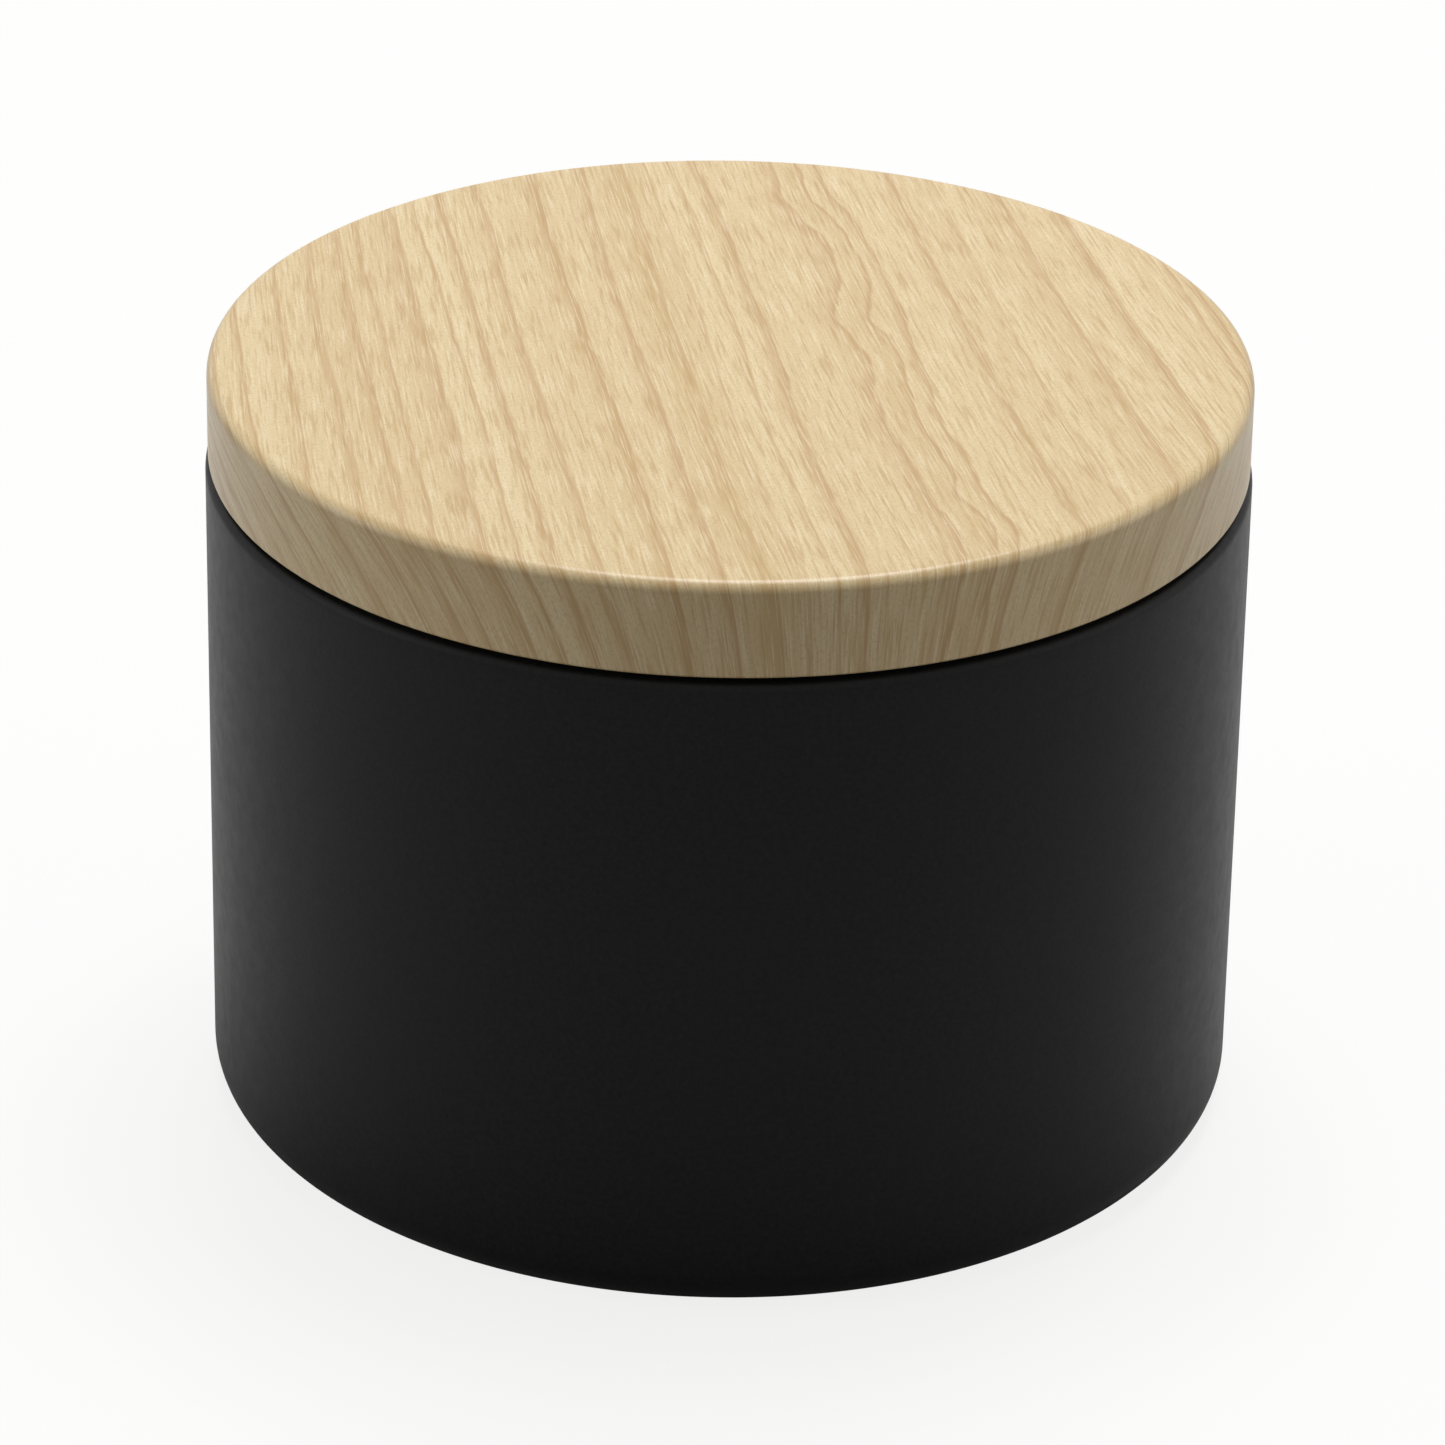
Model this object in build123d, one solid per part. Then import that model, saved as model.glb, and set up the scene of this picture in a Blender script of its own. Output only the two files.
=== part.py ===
"""Candle tin: a drawn sheet-metal tin with a slip lid, filled with wax round one wick.

The lid drops over a neck that is drawn in at the top of the tin, so that its skirt stands
flush with the tin's wall. A foam liner, held in the lid behind the curled lower edge of the
skirt, seals on the rim. Inside, a foam dot sticks the wick's foot to the floor of the tin.

Frame: millimetres, +Z up, origin at the centre of the foot ring on the plane it stands on.
Every piece is round about Z, apart from the two crimps that close the foot on the wick.
"""

import os

from build123d import *

# Tin
tin_radius = 40.0
overall_height = 60.5  # closed, from the foot to the top of the lid
tin_sheet = 0.28
heel_radius = 3.2
shoulder_radius = 0.7
neck_root_radius = 0.4
rim_bead_radius = 0.9
foot_ring_width = 6.0  # from the wall in to the edge of the recess
recess_depth = 1.2  # height of the floor panel above the foot
recess_edge_radius = 0.4
foot_edge_radius = 0.7

# Lid
lid_setback = 0.2  # skirt inside the line of the tin's wall, on the radius
lid_height = 7.6  # outside, from the top down to the edge of the skirt
lid_sheet = 0.25
lid_edge_radius = 1.0
lid_bead_radius = 0.4
bead_sweep = 270.0  # degrees that both rolled edges turn through

# Liner
liner_thickness = 1.0
liner_edge_radius = 0.48

# Candle
wax_headroom = 5.6  # wax surface below the shoulder
wick_radius = 1.25
wick_trim = 6.4  # wick that stands above the wax
dot_radius = 10.0
dot_thickness = 1.0
foot_plate_radius = 10.0
foot_plate_sheet = 0.25
foot_neck_height = 6.0
foot_neck_root_radius = 0.6
crimp_width = 1.6
crimp_height = 1.0
crimp_depth = 0.12

# Base label
label_radius = 25.0
label_thickness = 0.15

# Clearances
lid_slip = 0.15  # neck to the skirt's curled edge, on the radius
lid_gap = 0.4  # shoulder to the edge of the skirt, with the lid down
liner_clearance = 0.3  # liner to the inside of the skirt, on the radius
rim_clearance = 0.05  # rim to the underside of the liner
wax_clearance = 0.05  # wax to the tin, left as it cools and shrinks
wick_clearance = 0.02  # wick to the foot's neck, and wax to the wick and its foot

# Levels and radii that follow from the sizes above
foot_inner_radius = tin_radius - foot_ring_width
lid_radius = tin_radius - lid_setback
skirt_level = overall_height - lid_height
shoulder_level = skirt_level - lid_gap
liner_top = overall_height - lid_sheet
rim_level = liner_top - liner_thickness - rim_clearance
neck_radius = lid_radius - 2 * lid_bead_radius - lid_slip
floor_level = recess_depth + tin_sheet
dot_top = floor_level + dot_thickness
foot_neck_bore = wick_radius + wick_clearance
wax_level = shoulder_level - wax_headroom
wick_top = wax_level + wick_trim


def turned(*edges):
    """The solid that a closed outline, drawn as radius and height, sweeps about Z."""
    return revolve(Plane.XZ * make_face(edges), Axis.Z)


def disc(radius, bottom, thickness):
    """A flat round plate on Z with its underside at the bottom level."""
    return Pos(0, 0, bottom) * Cylinder(
        radius, thickness, align=(Align.CENTER, Align.CENTER, Align.MIN)
    )


def tin_wall_line(inset, top):
    """The line of the tin's wall, moved inwards from its outer face, from the axis to a top
    level on the neck. A bend that is hollow from outside opens as the line moves in."""
    points = [
        (0, recess_depth + inset),
        (foot_inner_radius + inset, recess_depth + inset),
        (foot_inner_radius + inset, inset),
        (tin_radius - inset, inset),
        (tin_radius - inset, shoulder_level - inset),
        (neck_radius - inset, shoulder_level - inset),
        (neck_radius - inset, top),
    ]
    radii = [
        recess_edge_radius + inset,
        foot_edge_radius - inset,
        heel_radius - inset,
        shoulder_radius - inset,
        neck_root_radius + inset,
    ]
    return FilletPolyline(*points, radius=radii)


def tin_body():
    """Drawn tin: recessed floor, foot ring, heel, wall, shoulder, neck and a rolled rim."""
    bead_level = rim_level - rim_bead_radius
    bead_centre = (neck_radius - rim_bead_radius, bead_level)
    outside = tin_wall_line(0, bead_level)
    inside = tin_wall_line(tin_sheet, bead_level)
    bead_outside = CenterArc(bead_centre, rim_bead_radius, 0, bead_sweep)
    bead_inside = CenterArc(bead_centre, rim_bead_radius - tin_sheet, 0, bead_sweep)
    return turned(
        outside,
        bead_outside,
        Line(bead_outside @ 1, bead_inside @ 1),
        bead_inside,
        inside,
        Line(inside @ 0, outside @ 0),
    )


def lid_line(inset):
    """The line of the lid's top and skirt, moved inwards from its outer face."""
    return FilletPolyline(
        (0, overall_height - inset),
        (lid_radius - inset, overall_height - inset),
        (lid_radius - inset, skirt_level + lid_bead_radius),
        radius=lid_edge_radius - inset,
    )


def lid_shell():
    """Drawn lid: flat top, rounded edge and a skirt whose lower edge is rolled inwards."""
    bead_centre = (lid_radius - lid_bead_radius, skirt_level + lid_bead_radius)
    outside = lid_line(0)
    inside = lid_line(lid_sheet)
    bead_outside = CenterArc(bead_centre, lid_bead_radius, 0, -bead_sweep)
    bead_inside = CenterArc(bead_centre, lid_bead_radius - lid_sheet, 0, -bead_sweep)
    return turned(
        outside,
        bead_outside,
        Line(bead_outside @ 1, bead_inside @ 1),
        bead_inside,
        inside,
        Line(inside @ 0, outside @ 0),
    )


def lid_liner():
    """Foam disc with soft edges that lies against the underside of the lid."""
    plate = disc(
        lid_radius - lid_sheet - liner_clearance,
        liner_top - liner_thickness,
        liner_thickness,
    )
    return fillet(plate.edges(), liner_edge_radius)


def wick_dot():
    """Double-sided foam dot that sticks the wick's foot to the floor of the tin."""
    return disc(dot_radius, floor_level, dot_thickness)


def foot_blank(clearance=0.0):
    """The foot before crimping: a plate with a tube drawn up from it. A clearance lets it
    out on every side but the underside, for the space that it takes in the wax."""
    top = dot_top + foot_neck_height + clearance
    plate_top = dot_top + foot_plate_sheet + clearance
    neck_outside = foot_neck_bore + foot_plate_sheet + clearance
    edge = foot_plate_radius + clearance
    outside = FilletPolyline(
        (neck_outside, top),
        (neck_outside, plate_top),
        (edge, plate_top),
        radius=foot_neck_root_radius - clearance,
    )
    return turned(
        outside,
        Polyline(
            (edge, plate_top), (edge, dot_top), (foot_neck_bore, dot_top), (foot_neck_bore, top)
        ),
        Line((foot_neck_bore, top), (neck_outside, top)),
    )


def wick_foot():
    """Metal foot with its neck nipped from two sides to grip the wick."""
    foot = foot_blank()
    crimp_level = dot_top + foot_neck_height / 2
    face = foot_neck_bore + foot_plate_sheet - crimp_depth
    for side in (-1, 1):
        nip = Box(
            foot_plate_sheet,
            crimp_width,
            crimp_height,
            align=(Align.MIN if side > 0 else Align.MAX, Align.CENTER, Align.CENTER),
        )
        foot -= Pos(side * face, 0, crimp_level) * nip
    return foot


def wick():
    """Round braid from the dot up to its trimmed end."""
    return disc(wick_radius, dot_top, wick_top - dot_top)


def wax_fill():
    """Wax poured to its level, with the room that the dot, the foot and the wick take."""
    wall = tin_wall_line(tin_sheet + wax_clearance, rim_level)
    poured = turned(wall, Polyline(wall @ 1, (0, rim_level), wall @ 0))
    poured -= disc(tin_radius, wax_level, overall_height)
    # The wax lies on the floor itself, so it reaches down through its clearance there.
    poured += disc(foot_inner_radius - recess_edge_radius, floor_level, heel_radius)
    dot_room = disc(dot_radius + wax_clearance, floor_level, dot_thickness)
    foot_room = foot_blank(wick_clearance)
    wick_room = disc(wick_radius + wick_clearance, dot_top, overall_height)
    return poured - dot_room - foot_room - wick_room


def base_label():
    """Plain round label on the underside of the floor, up inside the foot ring."""
    return disc(label_radius, recess_depth - label_thickness, label_thickness)


pieces = {
    "tin_body": tin_body,
    "lid_shell": lid_shell,
    "lid_liner": lid_liner,
    "wax_fill": wax_fill,
    "wick": wick,
    "wick_foot": wick_foot,
    "wick_dot": wick_dot,
    "base_label": base_label,
}

os.makedirs("parts", exist_ok=True)
for name, make in pieces.items():
    export_step(make(), f"parts/{name}.step")
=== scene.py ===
import math

import bpy
import numpy as np
from mathutils import Matrix, Vector


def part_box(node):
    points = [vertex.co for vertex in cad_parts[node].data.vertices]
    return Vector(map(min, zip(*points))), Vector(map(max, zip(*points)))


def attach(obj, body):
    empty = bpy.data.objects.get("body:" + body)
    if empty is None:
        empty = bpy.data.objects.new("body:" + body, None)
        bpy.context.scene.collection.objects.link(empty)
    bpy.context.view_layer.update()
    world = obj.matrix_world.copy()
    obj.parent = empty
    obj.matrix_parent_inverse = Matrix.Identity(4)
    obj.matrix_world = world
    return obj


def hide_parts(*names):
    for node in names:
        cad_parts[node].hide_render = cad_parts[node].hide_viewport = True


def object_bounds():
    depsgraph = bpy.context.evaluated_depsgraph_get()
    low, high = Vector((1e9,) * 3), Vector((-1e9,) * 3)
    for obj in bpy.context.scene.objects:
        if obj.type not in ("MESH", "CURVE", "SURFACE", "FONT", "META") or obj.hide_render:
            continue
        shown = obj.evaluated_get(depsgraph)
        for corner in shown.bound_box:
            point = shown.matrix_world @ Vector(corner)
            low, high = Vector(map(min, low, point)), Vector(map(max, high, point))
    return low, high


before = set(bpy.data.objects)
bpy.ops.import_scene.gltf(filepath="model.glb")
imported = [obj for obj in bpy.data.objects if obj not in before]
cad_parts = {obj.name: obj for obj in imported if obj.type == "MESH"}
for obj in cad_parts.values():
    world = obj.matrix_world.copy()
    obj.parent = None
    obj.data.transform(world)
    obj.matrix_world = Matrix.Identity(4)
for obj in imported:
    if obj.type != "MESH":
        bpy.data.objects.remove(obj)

cadLow, cadHigh = [list(c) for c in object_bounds()]


def newMesh(name, points, faces, uv=None):
    # points (n, 3) and quads or triangles, with one uv pair for each point
    mesh = bpy.data.meshes.new(name)
    mesh.from_pydata(points.tolist(), [], faces)
    if uv is not None:
        loopPoint = np.empty(len(mesh.loops), dtype=np.int32)
        mesh.loops.foreach_get("vertex_index", loopPoint)
        layer = mesh.uv_layers.new(name="grain")
        layer.data.foreach_set("uv", uv[loopPoint].astype(np.float32).ravel())
    mesh.polygons.foreach_set("use_smooth", np.ones(len(mesh.polygons), dtype=bool))
    mesh.update()
    piece = bpy.data.objects.new(name, mesh)
    bpy.context.scene.collection.objects.link(piece)
    return piece


def gridFaces(rows, columns, closedRows=False):
    # quads between neighbouring rows and columns of a grid numbered row by row; columns close up
    r = np.arange(rows if closedRows else rows - 1)
    c = np.arange(columns)
    r, c = [a.ravel() for a in np.meshgrid(r, c, indexing="ij")]
    nextR = (r + 1) % rows
    nextC = (c + 1) % columns
    here, there = r * columns, nextR * columns
    return np.stack([here + c, here + nextC, there + nextC, there + c], 1)


def arc(cx, cz, radius, start, end, steps):
    # points on a circle about (cx, cz), from the start angle to the end angle, in degrees
    a = np.radians(np.linspace(start, end, steps + 1))
    return np.stack([cx + radius * np.cos(a), cz + radius * np.sin(a)], 1)


def line(x0, z0, x1, z1, steps=1):
    t = np.linspace(0, 1, steps + 1)[:, None]
    return np.array([x0, z0]) * (1 - t) + np.array([x1, z1]) * t


def outline(*stretches):
    # joins stretches of a profile, dropping a point that repeats the one before it
    pts = np.concatenate(stretches)
    keep = np.r_[True, np.linalg.norm(np.diff(pts, axis=0), axis=1) > 1e-7]
    return pts[keep]


def turned(name, profile, segments, uvOf=None):
    # a profile of (radius, height) carried round Z; an end on the axis closes in one point
    a = np.arange(segments) * 2 * math.pi / segments
    capStart, capEnd = profile[0, 0] < 1e-7, profile[-1, 0] < 1e-7
    body = profile[int(capStart):len(profile) - int(capEnd)]
    r, z = body[:, :1], body[:, 1:]
    grid = np.stack([r * np.cos(a), r * np.sin(a), z + 0 * a], -1).reshape(-1, 3)
    closed = not (capStart or capEnd)
    faces = gridFaces(len(body), segments, closedRows=closed).tolist()
    points = [grid]
    ring = np.arange(segments)
    nextRing = (ring + 1) % segments
    if capStart:
        points.append(np.array([[0, 0, profile[0, 1]]]))
        pole = np.full(segments, len(grid))
        faces += np.stack([pole, nextRing, ring], 1).tolist()
    if capEnd:
        points.append(np.array([[0, 0, profile[-1, 1]]]))
        pole = np.full(segments, len(grid) + int(capStart))
        last = (len(body) - 1) * segments
        faces += np.stack([last + ring, last + nextRing, pole], 1).tolist()
    points = np.concatenate(points)
    uv = uvOf(points) if uvOf else None
    piece = newMesh(name, points, faces, uv)
    faceOutwards(piece)
    return piece


def faceOutwards(piece):
    # one consistent side for all faces, turned out where the volume comes out negative
    mesh = piece.data
    co = np.empty(len(mesh.vertices) * 3)
    mesh.vertices.foreach_get("co", co)
    co = co.reshape(-1, 3)
    mesh.calc_loop_triangles()
    tri = np.empty(len(mesh.loop_triangles) * 3, dtype=np.int32)
    mesh.loop_triangles.foreach_get("vertices", tri)
    p = co[tri.reshape(-1, 3)]
    volume = np.einsum("ij,ij->i", p[:, 0], np.cross(p[:, 1], p[:, 2])).sum() / 6
    if volume < 0:
        mesh.flip_normals()
    mesh.update()


def tubeAlong(path, radius, sides):
    # rings of a round tube square to a path, with both ends closed by a point
    tangent = np.gradient(path, axis=0)
    tangent /= np.linalg.norm(tangent, axis=1)[:, None]
    aside = np.array([0.31, 0.95, 0.02])  # a direction that no path here runs along
    side = np.cross(tangent, aside)
    side /= np.linalg.norm(side, axis=1)[:, None]
    other = np.cross(tangent, side)
    a = np.arange(sides) * 2 * math.pi / sides
    ring = np.cos(a)[None, :, None] * side[:, None] + np.sin(a)[None, :, None] * other[:, None]
    radius = np.broadcast_to(np.asarray(radius, float), (len(path),))
    points = (path[:, None] + ring * radius[:, None, None]).reshape(-1, 3)
    faces = gridFaces(len(path), sides).tolist()
    k = np.arange(sides)
    n = len(points)
    last = (len(path) - 1) * sides
    faces += np.stack([np.full(sides, n), (k + 1) % sides, k], 1).tolist()
    faces += np.stack([np.full(sides, n + 1), last + k, last + (k + 1) % sides], 1).tolist()
    return np.concatenate([points, path[:1], path[-1:]]), faces


class Val:
    # wraps a socket so that sums and products of values add Math nodes
    def __init__(self, mat, socket):
        self.mat, self.socket = mat, socket

    def op(self, operation, a, b):
        return self.mat.node("ShaderNodeMath", {"operation": operation}, [a, b])

    def __add__(self, b):
        return self.op("ADD", self, b)

    def __radd__(self, b):
        return self.op("ADD", b, self)

    def __sub__(self, b):
        return self.op("SUBTRACT", self, b)

    def __rsub__(self, b):
        return self.op("SUBTRACT", b, self)

    def __mul__(self, b):
        return self.op("MULTIPLY", self, b)

    def __rmul__(self, b):
        return self.op("MULTIPLY", b, self)

    def __truediv__(self, b):
        return self.op("DIVIDE", self, b)


class Mat:
    # a material whose nodes are made by one method
    def __init__(self, name):
        self.material = bpy.data.materials.new(name)
        self.material.use_nodes = True
        self.tree = self.material.node_tree
        self.tree.nodes.clear()
        self.out = self.tree.nodes.new("ShaderNodeOutputMaterial")

    def node(self, kind, settings=None, inputs=None, out=0):
        n = self.tree.nodes.new(kind)
        for key, value in (settings or {}).items():
            if key == "stops":
                self.setStops(n.color_ramp, value)
            else:
                setattr(n, key, value)
        pairs = inputs.items() if isinstance(inputs, dict) else enumerate(inputs or [])
        for key, value in pairs:
            if isinstance(value, Val):
                self.tree.links.new(value.socket, n.inputs[key])
            else:
                n.inputs[key].default_value = value
        return Val(self, n.outputs[out])

    def setStops(self, ramp, stops):
        while len(ramp.elements) > 1:
            ramp.elements.remove(ramp.elements[-1])
        for i, (place, colour) in enumerate(stops):
            e = ramp.elements[0] if i == 0 else ramp.elements.new(place)
            e.position = place
            e.color = colour if len(colour) == 4 else (*colour, 1)

    def place(self):
        return self.node("ShaderNodeTexCoord", out="Object")

    def uv(self):
        return self.node("ShaderNodeUVMap", {"uv_map": "grain"})

    def scaled(self, vector, scale, turn=(0, 0, 0), move=(0, 0, 0)):
        inputs = {"Vector": vector, "Location": move, "Rotation": turn, "Scale": scale}
        return self.node("ShaderNodeMapping", {"vector_type": "POINT"}, inputs)

    def noise(self, vector, scale, detail=3.0, rough=0.5):
        inputs = {"Vector": vector, "Scale": scale, "Detail": detail, "Roughness": rough}
        return self.node("ShaderNodeTexNoise", {}, inputs, out="Fac")

    def cells(self, vector, scale, out="Distance"):
        # distance from the nearest of many scattered points, or that point's own colour
        inputs = {"Vector": vector, "Scale": scale}
        return self.node("ShaderNodeTexVoronoi", {"feature": "F1"}, inputs, out=out)

    def lineNoise(self, value, scale, detail, move=0.0):
        # noise along one value, so that it keeps to the contours of that value
        settings = {"noise_dimensions": "1D"}
        inputs = {"W": value * scale + move, "Scale": 1.0, "Detail": detail, "Roughness": 0.55}
        return self.node("ShaderNodeTexNoise", settings, inputs, out="Fac")

    def ramp(self, value, *stops):
        # a smooth change of value over the stops, as a colour
        return self.node("ShaderNodeValToRGB", {"stops": stops}, {"Fac": value}, out="Color")

    def fade(self, value, low, high):
        # 0 at low and 1 at high, eased at both ends
        settings = {"interpolation_type": "SMOOTHSTEP"}
        return self.node("ShaderNodeMapRange", settings, {0: value, 1: low, 2: high})

    def mix(self, factor, a, b, blend="MIX"):
        settings = {"data_type": "RGBA", "blend_type": blend, "clamp_factor": True}
        return self.node("ShaderNodeMix", settings, {0: factor, 6: a, 7: b}, out=2)

    def bump(self, height, strength, distance):
        inputs = {"Strength": strength, "Distance": distance, "Height": height}
        return self.node("ShaderNodeBump", {}, inputs)

    def finish(self, **sockets):
        names = {key: key.replace("_", " ") for key in sockets}
        shader = self.node("ShaderNodeBsdfPrincipled", {}, {names[k]: v for k, v in sockets.items()})
        self.tree.links.new(shader.socket, self.out.inputs["Surface"])
        return self.material


def srgb(r, g, b):
    c = np.array([r, g, b]) / 255
    c = np.where(c <= 0.04045, c / 12.92, ((c + 0.055) / 1.055) ** 2.4)
    return (*c.tolist(), 1.0)


def grey(v):
    return (v, v, v, 1.0)


def dress(piece, material, body, replaced):
    piece.data.materials.clear()
    piece.data.materials.append(material)
    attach(piece, body)
    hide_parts(*replaced)


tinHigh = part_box("tin_body")[1]
lidLow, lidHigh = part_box("lid_shell")
linerLow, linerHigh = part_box("lid_liner")
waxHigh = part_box("wax_fill")[1]
wickLow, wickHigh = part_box("wick")
tinRadius, lidRadius = tinHigh.x, lidHigh.x
lidTop, skirtEdge = lidHigh.z, lidLow.z

tin = dict(
    sheet=0.00028,
    heel=0.0032,
    shoulder=0.0007,
    neckRoot=0.0004,
    rimBead=0.0009,
    footRing=0.006,
    footEdge=0.0007,
    recess=0.0012,
    recessEdge=0.0004,
    beadSweep=270,
    lidGap=0.0004,  # shoulder below the edge of the skirt
    lidSlip=0.00015,
    segments=256,
)
lid = dict(sheet=0.00025, edge=0.001, bead=0.0004, beadSweep=270, segments=320)


def tinLine(inset, top):
    # the wall's line from the axis out over the foot ring, up the wall and in to the neck
    k = tin
    shoulder = skirtEdge - k["lidGap"] - inset
    neck = lidRadius - 2 * lid["bead"] - k["lidSlip"] - inset
    foot = tinRadius - k["footRing"] + inset
    wall = tinRadius - inset
    heel, edge = k["heel"] - inset, k["footEdge"] - inset
    recess, recessEdge = k["recess"] + inset, k["recessEdge"] + inset
    bend, root = k["shoulder"] - inset, k["neckRoot"] + inset
    return outline(
        line(0, recess, foot - recessEdge, recess, 24),
        arc(foot - recessEdge, recess - recessEdge, recessEdge, 90, 0, 6),
        arc(foot + edge, inset + edge, edge, 180, 270, 6),
        line(foot + edge, inset, wall - heel, inset, 2),
        arc(wall - heel, inset + heel, heel, -90, 0, 16),
        line(wall, inset + heel, wall, shoulder - bend, 40),
        arc(wall - bend, shoulder - bend, bend, 0, 90, 8),
        arc(neck + root, shoulder + root, root, 270, 180, 6),
        line(neck, shoulder + root, neck, top, 3),
    )


def makeTin():
    k = tin
    beadLevel = tinHigh.z - k["rimBead"]
    beadCentre = lidRadius - 2 * lid["bead"] - k["lidSlip"] - k["rimBead"]
    profile = outline(
        tinLine(0, beadLevel),
        arc(beadCentre, beadLevel, k["rimBead"], 0, k["beadSweep"], 20),
        arc(beadCentre, beadLevel, k["rimBead"] - k["sheet"], k["beadSweep"], 0, 16),
        tinLine(k["sheet"], beadLevel)[::-1],
    )
    piece = turned("tinShell", profile, k["segments"])
    dress(piece, blackCoat(), "tin", ["tin_body"])
    return piece


grainTurn = math.radians(10.4)  # the grain's direction, turned from the Y axis
grainFan = 2.0  # how fast that turn grows with X, per metre


def blankOf(points):
    # where each point lay on the flat disc that the lid was drawn from: a drawn wall keeps
    # its area, so its radius there is the root of R squared plus twice R times its depth
    radius = np.hypot(points[:, 0], points[:, 1])
    depth = np.clip(lidTop - points[:, 2], 0, None)
    onWall = radius > lidRadius - lid["edge"]
    drawn = np.sqrt(np.minimum(radius, lidRadius) ** 2 + 2 * lidRadius * depth)
    flat = np.where(onWall, drawn, radius)
    scale = flat / np.maximum(radius, 1e-9)
    x, y = points[:, 0] * scale, points[:, 1] * scale
    across = x * math.cos(grainTurn) * (1 + grainFan * y) + y * math.sin(grainTurn)
    along = -x * math.sin(grainTurn) + y * math.cos(grainTurn)
    return np.stack([across, along], 1)


def lidLine(inset, steps):
    k = lid
    wall, top = lidRadius - inset, lidTop - inset
    bend = k["edge"] - inset
    return outline(
        line(0, top, wall - bend, top, steps),
        arc(wall - bend, top - bend, bend, 90, 0, 12),
        line(wall, top - bend, wall, skirtEdge + k["bead"], 10),
    )


def makeLid():
    k = lid
    centreX, centreZ = lidRadius - k["bead"], skirtEdge + k["bead"]
    outside = outline(lidLine(0, 40), arc(centreX, centreZ, k["bead"], 0, -k["beadSweep"], 20))
    profile = outline(
        outside,
        arc(centreX, centreZ, k["bead"] - k["sheet"], -k["beadSweep"], 0, 14),
        lidLine(k["sheet"], 12)[::-1],
    )
    piece = turned("lidPrinted", profile, k["segments"], blankOf)
    dress(piece, woodPrint(), "lid", ["lid_shell"])
    # the print ends where the edge has rolled under; from there on in the tinplate is bare
    mesh = piece.data
    mesh.materials.append(bareTinplate())
    rows = len(profile) - 3  # rows of faces between the two poles
    bare = np.arange(rows) >= len(outside) - 2
    bare = np.repeat(np.r_[bare, False, True], k["segments"])
    mesh.polygons.foreach_set("material_index", bare.astype(np.int32))
    return piece


woodFigure = dict(
    wander=0.0050,  # how far the rings drift across the lid
    ripple=0.0009,
    knotPlace=0.0105,  # the wavy figure beside the middle, measured across the grain
    knotWidth=0.0050,
    knotSway=0.0075,
    ringsPerMetre=400.0,
    ragged=0.0008,  # how far the fibres break up a ring's edge
)


def woodPrint():
    k = woodFigure
    m = Mat("woodPrint")
    uv = m.uv()
    parts = m.node("ShaderNodeSeparateXYZ", {}, [uv])
    wander = m.noise(m.scaled(uv, (40, 9, 1)), 1.0, 2.0, 0.5) - 0.5
    ripple = m.noise(m.scaled(uv, (260, 60, 1)), 1.0, 3.0, 0.6) - 0.5
    # rings sway most beside the middle: a bell-shaped share of a slow noise
    offset = (parts - k["knotPlace"]) / k["knotWidth"]
    share = m.node("ShaderNodeMath", {"operation": "EXPONENT"}, [-1.0 * (offset * offset)])
    sway = m.noise(m.scaled(uv, (70, 62, 1), move=(0.31, 0.4, 0)), 1.0, 2.0, 0.45) - 0.5
    fibre = m.noise(m.scaled(uv, (3100, 190, 1)), 1.0, 3.0, 0.6)
    rings = parts + wander * k["wander"] + ripple * k["ripple"] + share * sway * k["knotSway"]
    drift = m.lineNoise(rings, 95.0, 2.0)
    # each ring darkens slowly to its late wood, then ends in a sharp line
    edge = rings + (fibre - 0.5) * k["ragged"]
    saw = m.node("ShaderNodeMath", {"operation": "FRACT"}, [edge * k["ringsPerMetre"] + drift * 4.0])
    late = m.node("ShaderNodeMath", {"operation": "POWER"}, [saw, 3.0]) * m.fade(saw, 1.0, 0.88)
    strong = m.fade(m.lineNoise(rings, 300.0, 2.0, 3.7), 0.32, 0.56)
    broad = m.lineNoise(rings, 130.0, 2.0, 8.2)
    tone = {name: srgb(*value) for name, value in woodTones.items()}
    base = m.ramp(broad, (0.30, tone["pale"]), (0.52, tone["body"]), (0.72, tone["warm"]))
    base = m.mix(late * strong * 0.95, base, tone["late"])
    fleck = m.noise(m.scaled(uv, (6200, 170, 1), move=(3, 7, 0)), 1.0, 2.0, 0.6)
    speckle = m.noise(m.scaled(uv, (4200, 3300, 1)), 1.0, 2.0, 0.7)
    base = m.mix(m.fade(fibre, 0.47, 0.66) * (late * 0.3 + 0.55), base, tone["fibre"])
    base = m.mix(m.fade(fleck, 0.50, 0.66) * 0.50, base, tone["fleck"])
    base = m.mix(m.fade(speckle, 0.48, 0.70) * 0.45, base, tone["speckle"])
    pores = m.cells(m.scaled(uv, (95, 60, 1)), 1.0)
    rare = m.noise(m.scaled(uv, (23, 19, 1), move=(1, 2, 0)), 1.0, 0.0)
    pin = (1 - m.fade(pores, 0.012, 0.030)) * m.fade(rare, 0.62, 0.68)
    base = m.mix(pin * 0.8, base, tone["pore"])
    rough = 0.35 + (fibre - 0.5) * 0.14
    relief = m.bump(fibre * 0.6 + fleck * 0.4, 0.12, 0.00004)
    return m.finish(Base_Color=base, Roughness=rough, Normal=relief, Metallic=0.0,
                    Specular_IOR_Level=0.45)


woodTones = dict(
    pale=(228, 206, 161),
    body=(221, 196, 149),
    warm=(211, 183, 132),
    late=(180, 135, 78),
    fibre=(190, 154, 99),
    fleck=(241, 225, 188),
    speckle=(194, 162, 112),
    pore=(112, 78, 44),
)


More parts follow.
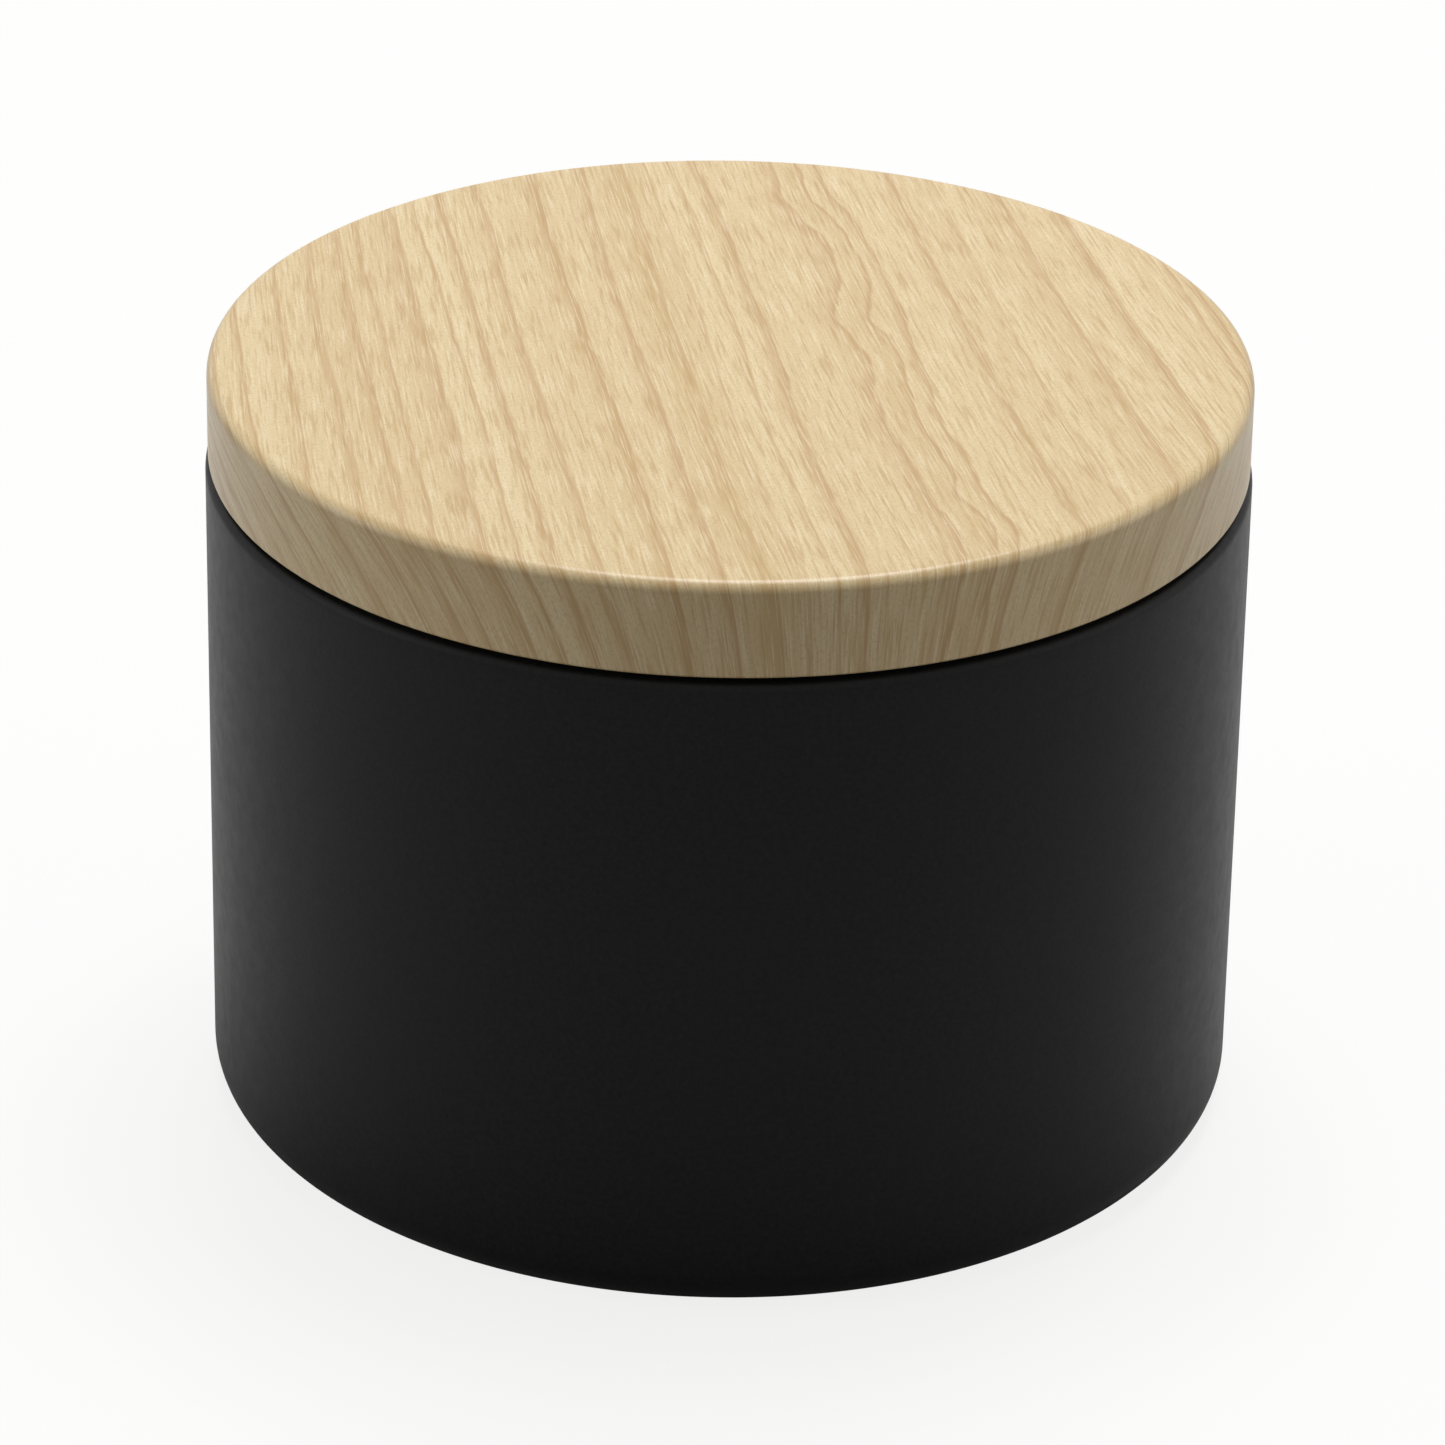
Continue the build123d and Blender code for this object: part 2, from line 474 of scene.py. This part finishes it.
def bareTinplate():
    m = Mat("bareTinplate")
    p = m.place()
    spangle = m.cells(p, 420.0, "Color")
    blur = m.noise(p, 160.0, 3.0, 0.6)
    rolled = m.noise(m.scaled(p, (4000, 90, 90)), 1.0, 2.0, 0.6)
    colour = m.mix(0.10, m.ramp(blur, (0.3, grey(0.62)), (0.7, grey(0.72))), spangle, "SOFT_LIGHT")
    rough = 0.27 + rolled * 0.16
    relief = m.bump(rolled, 0.12, 0.00002)
    return m.finish(Base_Color=colour, Roughness=rough, Normal=relief, Metallic=1.0)


def blackCoat():
    m = Mat("blackCoat")
    p = m.place()
    grain = m.noise(p, 2600.0, 3.0, 0.65)
    coarse = m.noise(p, 700.0, 3.0, 0.6)
    cloud = m.noise(p, 55.0, 3.0, 0.55)
    colour = m.ramp(grain, (0.30, grey(0.0085)), (0.70, grey(0.0165)))
    colour = m.mix(m.fade(cloud, 0.35, 0.75) * 0.35, colour, srgb(33, 33, 34))
    # a few pale dust specks
    dots = m.cells(p, 260.0)
    pick = m.noise(p, 95.0, 1.0, 0.5)
    dust = (1 - m.fade(dots, 0.020, 0.048)) * m.fade(pick, 0.66, 0.72)
    colour = m.mix(dust * 0.55, colour, srgb(120, 118, 114))
    rough = 0.44 + (coarse - 0.5) * 0.16 + dust * 0.3
    relief = m.bump(grain * 0.7 + coarse * 0.5, 0.22, 0.00004)
    return m.finish(Base_Color=colour, Roughness=rough, Normal=relief, Metallic=0.0,
                    Specular_IOR_Level=0.1)


waxShape = dict(
    edgeRise=0.0009,  # the wax stands this much higher where it wets the tin
    edgeReach=0.0016,
    wickRise=0.0008,
    wickReach=0.0014,
    sink=0.00035,
    ripple=0.00006,
    wallGap=0.00002,
    holeShare=0.7,  # the hole in the wax against the wick, which stands in it
    floorGap=0.0001,
    wallTop=0.002,  # the straight wall starts this far below the top
    bendLevel=0.0037,
    bend=0.0028,
    footStart=0.0034,  # the flat underside starts this far in from the wall
    segments=192,
)


def waxTop(r, a):
    # level, plus a meniscus at the wall and at the wick, minus a shallow dish, plus slow ripples
    k = waxShape
    wall, hole = waxHigh.x, wickHigh.x
    rise = k["edgeRise"] * np.exp(-(wall - r) / k["edgeReach"])
    rise += k["wickRise"] * np.exp(-(r - hole) / k["wickReach"])
    dish = k["sink"] * (1 - (r / wall) ** 2)
    ripple = k["ripple"] * (np.sin(3 * a + 190 * r) + 0.6 * np.cos(5 * a - 310 * r))
    return waxHigh.z - k["edgeRise"] + rise - dish + ripple


def makeWax():
    # one closed mass: it leaves no room for the wick, the foot and the dot that stand in it
    k = waxShape
    wall, hole = waxHigh.x - k["wallGap"], wickHigh.x * k["holeShare"]
    low = tin["recess"] + tin["sheet"] + k["floorGap"]
    bend, bendLevel = k["bend"], k["bendLevel"]
    a = np.arange(k["segments"]) * 2 * math.pi / k["segments"]
    t = np.linspace(0, 1, 70)
    r = hole + (wall - hole) * (1 - (1 - t) ** 1.6)  # rings lie closer near the wall
    topR = r[:, None] + 0 * a
    topZ = waxTop(np.maximum(topR, wickHigh.x), a[None])
    rest = outline(
        line(wall, waxHigh.z - k["wallTop"], wall, bendLevel, 6),
        arc(wall - bend, bendLevel, bend, 0, -80, 8),
        line(wall - k["footStart"], low, hole, low, 8),
    )
    restR = rest[:, :1] + 0 * a
    restZ = rest[:, 1:] + 0 * a
    radius, height = np.concatenate([topR, restR]), np.concatenate([topZ, restZ])
    grid = np.stack([radius * np.cos(a), radius * np.sin(a), height], -1)
    faces = gridFaces(len(radius), k["segments"], closedRows=True).tolist()
    piece = newMesh("waxPoured", grid.reshape(-1, 3), faces)
    faceOutwards(piece)
    dress(piece, waxMaterial(), "tin", ["wax_fill"])
    return piece


def waxMaterial():
    m = Mat("creamWax")
    p = m.place()
    cloud = m.noise(p, 90.0, 4.0, 0.6)
    frost = m.noise(p, 420.0, 4.0, 0.7)
    crystal = m.cells(p, 900.0)
    colour = m.ramp(cloud, (0.30, srgb(238, 229, 206)), (0.70, srgb(228, 216, 188)))
    colour = m.mix(m.fade(frost, 0.52, 0.72) * 0.5, colour, srgb(246, 241, 228))
    rough = 0.36 + frost * 0.24
    relief = m.bump(frost * 0.6 + crystal * 0.3, 0.18, 0.00008)
    return m.finish(Base_Color=colour, Roughness=rough, Normal=relief, Subsurface_Weight=0.35,
                    Subsurface_Radius=(0.004, 0.003, 0.0018), Subsurface_Scale=0.6)


wickShape = dict(
    strands=8,
    lay=0.0042,
    strandRadius=0.00042,
    swing=0.16,
    rings=360,
    sides=8,
    fray=0.10,  # how far the cut end opens
    frayLength=0.0016,
    tipDrop=0.0003,
    offset=0.4,  # turn between the strands of the two ways, in radians
    coreShare=0.72,
    coreSides=12,
    coreDrop=0.0003,
)


def makeWick():
    # half the strands run round one way and half the other, and each swings in and out
    # along its way so that it passes over and under those that cross it
    k = wickShape
    low, high = wickLow.z, wickHigh.z - k["tipDrop"]
    core = wickHigh.x - k["strandRadius"] * 1.05
    t = np.linspace(0, 1, k["rings"])
    z = low + (high - low) * t
    points, faces, count = [], [], 0
    for i in range(k["strands"]):
        way = 1 if i % 2 == 0 else -1
        start = 2 * math.pi * (i // 2) / (k["strands"] // 2) + (k["offset"] if way < 0 else 0)
        turn = start + way * 2 * math.pi * (z - low) / (k["lay"] * 2)
        radius = core * (1 - k["swing"] * (0.5 + 0.5 * way * np.cos(k["strands"] // 2 * turn)))
        opened = np.clip((z - high + k["frayLength"]) / k["frayLength"], 0, 1)
        tip = 1 + k["fray"] * opened
        path = np.stack([radius * tip * np.cos(turn), radius * tip * np.sin(turn), z], 1)
        p, f = tubeAlong(path, k["strandRadius"], k["sides"])
        faces += [[v + count for v in q] for q in f]
        points.append(p)
        count += len(p)
    middle = np.stack([0 * z, 0 * z, z - k["coreDrop"]], 1)
    p, f = tubeAlong(middle, core * k["coreShare"], k["coreSides"])
    faces += [[v + count for v in q] for q in f]
    points.append(p)
    piece = newMesh("wickBraid", np.concatenate(points), faces)
    faceOutwards(piece)
    dress(piece, cottonMaterial(), "tin", ["wick"])
    return piece


def cottonMaterial():
    m = Mat("waxedCotton")
    p = m.place()
    yarn = m.noise(m.scaled(p, (9000, 9000, 2200)), 1.0, 3.0, 0.6)
    patch = m.noise(p, 500.0, 2.0, 0.5)
    colour = m.ramp(yarn, (0.30, srgb(226, 218, 196)), (0.70, srgb(251, 248, 238)))
    colour = m.mix(m.fade(patch, 0.45, 0.70) * 0.35, colour, srgb(226, 212, 178))
    relief = m.bump(yarn, 0.5, 0.00006)
    return m.finish(Base_Color=colour, Roughness=0.62 + (patch - 0.5) * 0.2, Normal=relief, Sheen_Weight=0.2)


linerShape = dict(edge=0.00048, dimple=0.00006, dimpleWidth=0.0008, segments=192)


def makeLiner():
    k = linerShape
    outer, low, high, e = linerHigh.x, linerLow.z, linerHigh.z, k["edge"]
    # the rim of the tin has pressed a shallow ring into the foam's underside
    seat = lidRadius - 2 * lid["bead"] - tin["lidSlip"] - tin["rimBead"]
    r = np.linspace(0, outer - e, 60)
    pressed = k["dimple"] * np.exp(-((r - seat) / k["dimpleWidth"]) ** 2)
    under = np.stack([r, low + pressed], 1)
    profile = outline(
        under,
        arc(outer - e, low + e, e, -90, 0, 6),
        arc(outer - e, high - e, e, 0, 90, 6),
        line(outer - e, high, 0, high, 8),
    )
    piece = turned("linerFoam", profile, k["segments"])
    dress(piece, foamMaterial("linerFoam"), "liner", ["lid_liner"])
    return piece


def foamMaterial(name):
    m = Mat(name)
    p = m.place()
    cells = m.cells(p, 1500.0)
    cloud = m.noise(p, 120.0, 3.0, 0.6)
    colour = m.ramp(cells, (0.0, srgb(212, 212, 210)), (0.5, srgb(238, 238, 236)))
    colour = m.mix(m.fade(cloud, 0.4, 0.7) * 0.25, colour, srgb(222, 221, 216))
    rough = 0.55 + (cloud - 0.5) * 0.2
    return m.finish(Base_Color=colour, Roughness=rough, Normal=m.bump(cells, 0.35, 0.00008))


def labelPaper():
    m = Mat("labelPaper")
    p = m.place()
    pulp = m.noise(p, 900.0, 4.0, 0.65)
    fibres = m.noise(m.scaled(p, (2200, 500, 500), turn=(0, 0, 0.6)), 1.0, 3.0, 0.6)
    colour = m.ramp(pulp, (0.30, srgb(232, 229, 221)), (0.70, srgb(243, 241, 235)))
    colour = m.mix(m.fade(fibres, 0.55, 0.75) * 0.3, colour, srgb(222, 216, 203))
    rough = 0.72 + (pulp - 0.5) * 0.15
    return m.finish(Base_Color=colour, Roughness=rough, Normal=m.bump(pulp, 0.25, 0.00004))


def finishNodes():
    for node, material in {
        "wick_foot": bareTinplate(),
        "wick_dot": foamMaterial("dotFoam"),
        "base_label": labelPaper(),
    }.items():
        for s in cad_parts[node].material_slots:
            s.material = material


room = dict(
    white=(1.0, 1.0, 0.995),
    floorSize=6.0,
    floorGap=0.0001,  # floor below the foot, so that the two do not share a plane
    floorTone=0.36,
    floorGlow=0.84,  # share of the floor's white that its shadows can't darken
    worldLight=0.20,
)


def makeRoom():
    scene = bpy.context.scene
    size = room["floorSize"]
    low = -room["floorGap"]
    square = [[-1, -1], [1, -1], [1, 1], [-1, 1]]
    corners = np.array([[size * x, size * y, low] for x, y in square])
    floor = newMesh("floor", corners, [[0, 1, 2, 3]])
    m = Mat("floorWhite")
    ray = m.node("ShaderNodeLightPath")
    path = ray.socket.node.outputs
    camera, glossy, through = [Val(m, path["Is %s Ray" % k]) for k in ("Camera", "Glossy", "Transmission")]
    seen = m.node("ShaderNodeMath", {"operation": "MAXIMUM"}, [camera, glossy])
    seen = m.node("ShaderNodeMath", {"operation": "MAXIMUM"}, [seen, through])
    tone = m.noise(m.place(), 3.0, 2.0)
    colour = m.mix(seen, grey(room["floorTone"]), m.ramp(tone, (0.0, grey(0.955)), (1.0, grey(0.965))))
    diffuse = m.node("ShaderNodeBsdfDiffuse", {}, {"Color": colour})
    glow = m.node("ShaderNodeEmission", {}, {"Color": (*room["white"], 1), "Strength": 1.0})
    both = m.node("ShaderNodeMixShader", {}, [camera * room["floorGlow"], diffuse, glow])
    m.tree.links.new(both.socket, m.out.inputs["Surface"])
    floor.data.materials.append(m.material)

    world = bpy.data.worlds.new("studio")
    scene.world = world
    world.use_nodes = True
    nodes, links = world.node_tree.nodes, world.node_tree.links
    nodes.clear()
    path = nodes.new("ShaderNodeLightPath")
    most = nodes.new("ShaderNodeMath")
    most.operation = "MAXIMUM"
    links.new(path.outputs["Is Camera Ray"], most.inputs[0])
    links.new(path.outputs["Is Glossy Ray"], most.inputs[1])
    light = nodes.new("ShaderNodeBackground")
    light.inputs["Strength"].default_value = room["worldLight"]
    seen = nodes.new("ShaderNodeBackground")
    seen.inputs["Color"].default_value = (*room["white"], 1)
    mix = nodes.new("ShaderNodeMixShader")
    links.new(most.outputs[0], mix.inputs[0])
    links.new(light.outputs[0], mix.inputs[1])
    links.new(seen.outputs[0], mix.inputs[2])
    out = nodes.new("ShaderNodeOutputWorld")
    links.new(mix.outputs[0], out.inputs["Surface"])


# name: place, width, height, watts, aimed at the middle of the tin
lamps = {
    "overhead": ((0.05, 0.22, 0.85), 0.44, 0.44, 6.0),
    "leftBox": ((-0.80, -0.10, 0.30), 0.50, 0.60, 1.3),
    "rightBox": ((0.80, -0.05, 0.28), 0.50, 0.60, 0.9),
}


def makeLamps():
    middle = (Vector(cadLow) + Vector(cadHigh)) / 2
    for name, (place, width, height, watts) in lamps.items():
        light = bpy.data.lights.new(name, "AREA")
        light.shape = "RECTANGLE"
        light.size, light.size_y, light.energy = width, height, watts
        lamp = bpy.data.objects.new(name, light)
        lamp.location = place
        lamp.rotation_euler = (middle - Vector(place)).to_track_quat("-Z", "Y").to_euler()
        bpy.context.scene.collection.objects.link(lamp)


view = dict(
    lens=182.85,
    distance=0.5726,
    lookHeight=0.0278,
    elevation=26.945,
    pan=-0.0155,
    tilt=0.1398,
    roll=1.0112,
)


def makeCamera():
    turns = ("elevation", "pan", "tilt", "roll")
    k = {key: math.radians(v) if key in turns else v for key, v in view.items()}
    look = Vector((0, 0, k["lookHeight"]))
    place = look + Vector((0, -math.cos(k["elevation"]), math.sin(k["elevation"]))) * k["distance"]
    ahead, right = (look - place).normalized(), Vector((1, 0, 0))
    up = right.cross(ahead)
    level = ahead * math.cos(k["pan"]) + right * math.sin(k["pan"])
    ahead = level * math.cos(k["tilt"]) + up * math.sin(k["tilt"])
    right = ahead.cross(up).normalized()
    up = right.cross(ahead)
    turnedRight = right * math.cos(k["roll"]) + up * math.sin(k["roll"])
    turnedUp = up * math.cos(k["roll"]) - right * math.sin(k["roll"])
    data = bpy.data.cameras.new("camera")
    data.lens, data.sensor_width = k["lens"], 36
    data.clip_start, data.clip_end = 0.01, 50
    camera = bpy.data.objects.new("camera", data)
    m = Matrix((turnedRight, turnedUp, -ahead)).transposed().to_4x4()
    m.translation = place
    camera.matrix_world = m
    bpy.context.scene.collection.objects.link(camera)
    bpy.context.scene.camera = camera


makeCamera()
print("camera placed")
makeTin()
print("tin made")
makeLid()
makeLiner()
print("lid and liner made")
makeWax()
makeWick()
print("candle made")
finishNodes()
makeRoom()
makeLamps()
bpy.context.scene.view_settings.view_transform = "Standard"
print("room lit")
